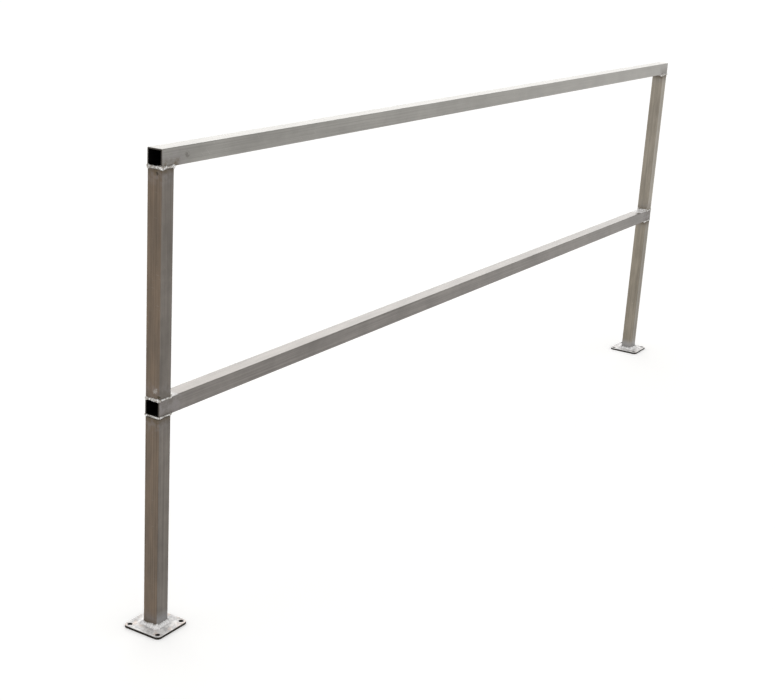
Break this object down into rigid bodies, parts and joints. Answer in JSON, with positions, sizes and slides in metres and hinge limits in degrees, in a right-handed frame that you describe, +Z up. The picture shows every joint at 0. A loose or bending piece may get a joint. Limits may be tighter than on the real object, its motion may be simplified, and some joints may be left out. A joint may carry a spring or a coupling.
{
  "type": "safety handrail bay",
  "caption": "Free-standing aluminium safety handrail bay of welded square tube, with a top rail, a middle rail and bolt-down base plates.",
  "frame": {"origin": "on the floor, midway between the two posts, on their common centre plane", "axes": "+X along the rails from the left post to the right post, +Y across the rails towards the back, +Z up"},
  "size_m": [2.8064, 0.1016, 1.067],
  "materials": {
    "tube_aluminium": "mill-finish extruded tube with draw lines, handling marks and heat tint beside the welds",
    "plate_aluminium": "mill-finish plate, bright and mottled, with heat tint round the weld",
    "weld_aluminium": "bright rippled weld metal"
  },
  "bodies": {
    "root": {"top_rail": "tube_aluminium", "mid_rail": "tube_aluminium", "left_lower_post": "tube_aluminium", "right_lower_post": "tube_aluminium", "left_upper_post": "tube_aluminium", "right_upper_post": "tube_aluminium", "left_base_plate": "plate_aluminium", "right_base_plate": "plate_aluminium", "left_foot_weld_front": "weld_aluminium", "left_foot_weld_inner": "weld_aluminium", "left_foot_weld_back": "weld_aluminium", "left_foot_weld_outer": "weld_aluminium", "right_foot_weld_front": "weld_aluminium", "right_foot_weld_inner": "weld_aluminium", "right_foot_weld_back": "weld_aluminium", "right_foot_weld_outer": "weld_aluminium", "left_under_mid_weld_front": "weld_aluminium", "left_under_mid_weld_inner": "weld_aluminium", "left_under_mid_weld_back": "weld_aluminium", "left_under_mid_weld_outer": "weld_aluminium", "left_over_mid_weld_front": "weld_aluminium", "left_over_mid_weld_inner": "weld_aluminium", "left_over_mid_weld_back": "weld_aluminium", "left_over_mid_weld_outer": "weld_aluminium", "left_top_weld_front": "weld_aluminium", "left_top_weld_inner": "weld_aluminium", "left_top_weld_back": "weld_aluminium", "left_top_weld_outer": "weld_aluminium", "right_under_mid_weld_front": "weld_aluminium", "right_under_mid_weld_inner": "weld_aluminium", "right_under_mid_weld_back": "weld_aluminium", "right_under_mid_weld_outer": "weld_aluminium", "right_over_mid_weld_front": "weld_aluminium", "right_over_mid_weld_inner": "weld_aluminium", "right_over_mid_weld_back": "weld_aluminium", "right_over_mid_weld_outer": "weld_aluminium", "right_top_weld_front": "weld_aluminium", "right_top_weld_inner": "weld_aluminium", "right_top_weld_back": "weld_aluminium", "right_top_weld_outer": "weld_aluminium"}
  },
  "joints": []
}
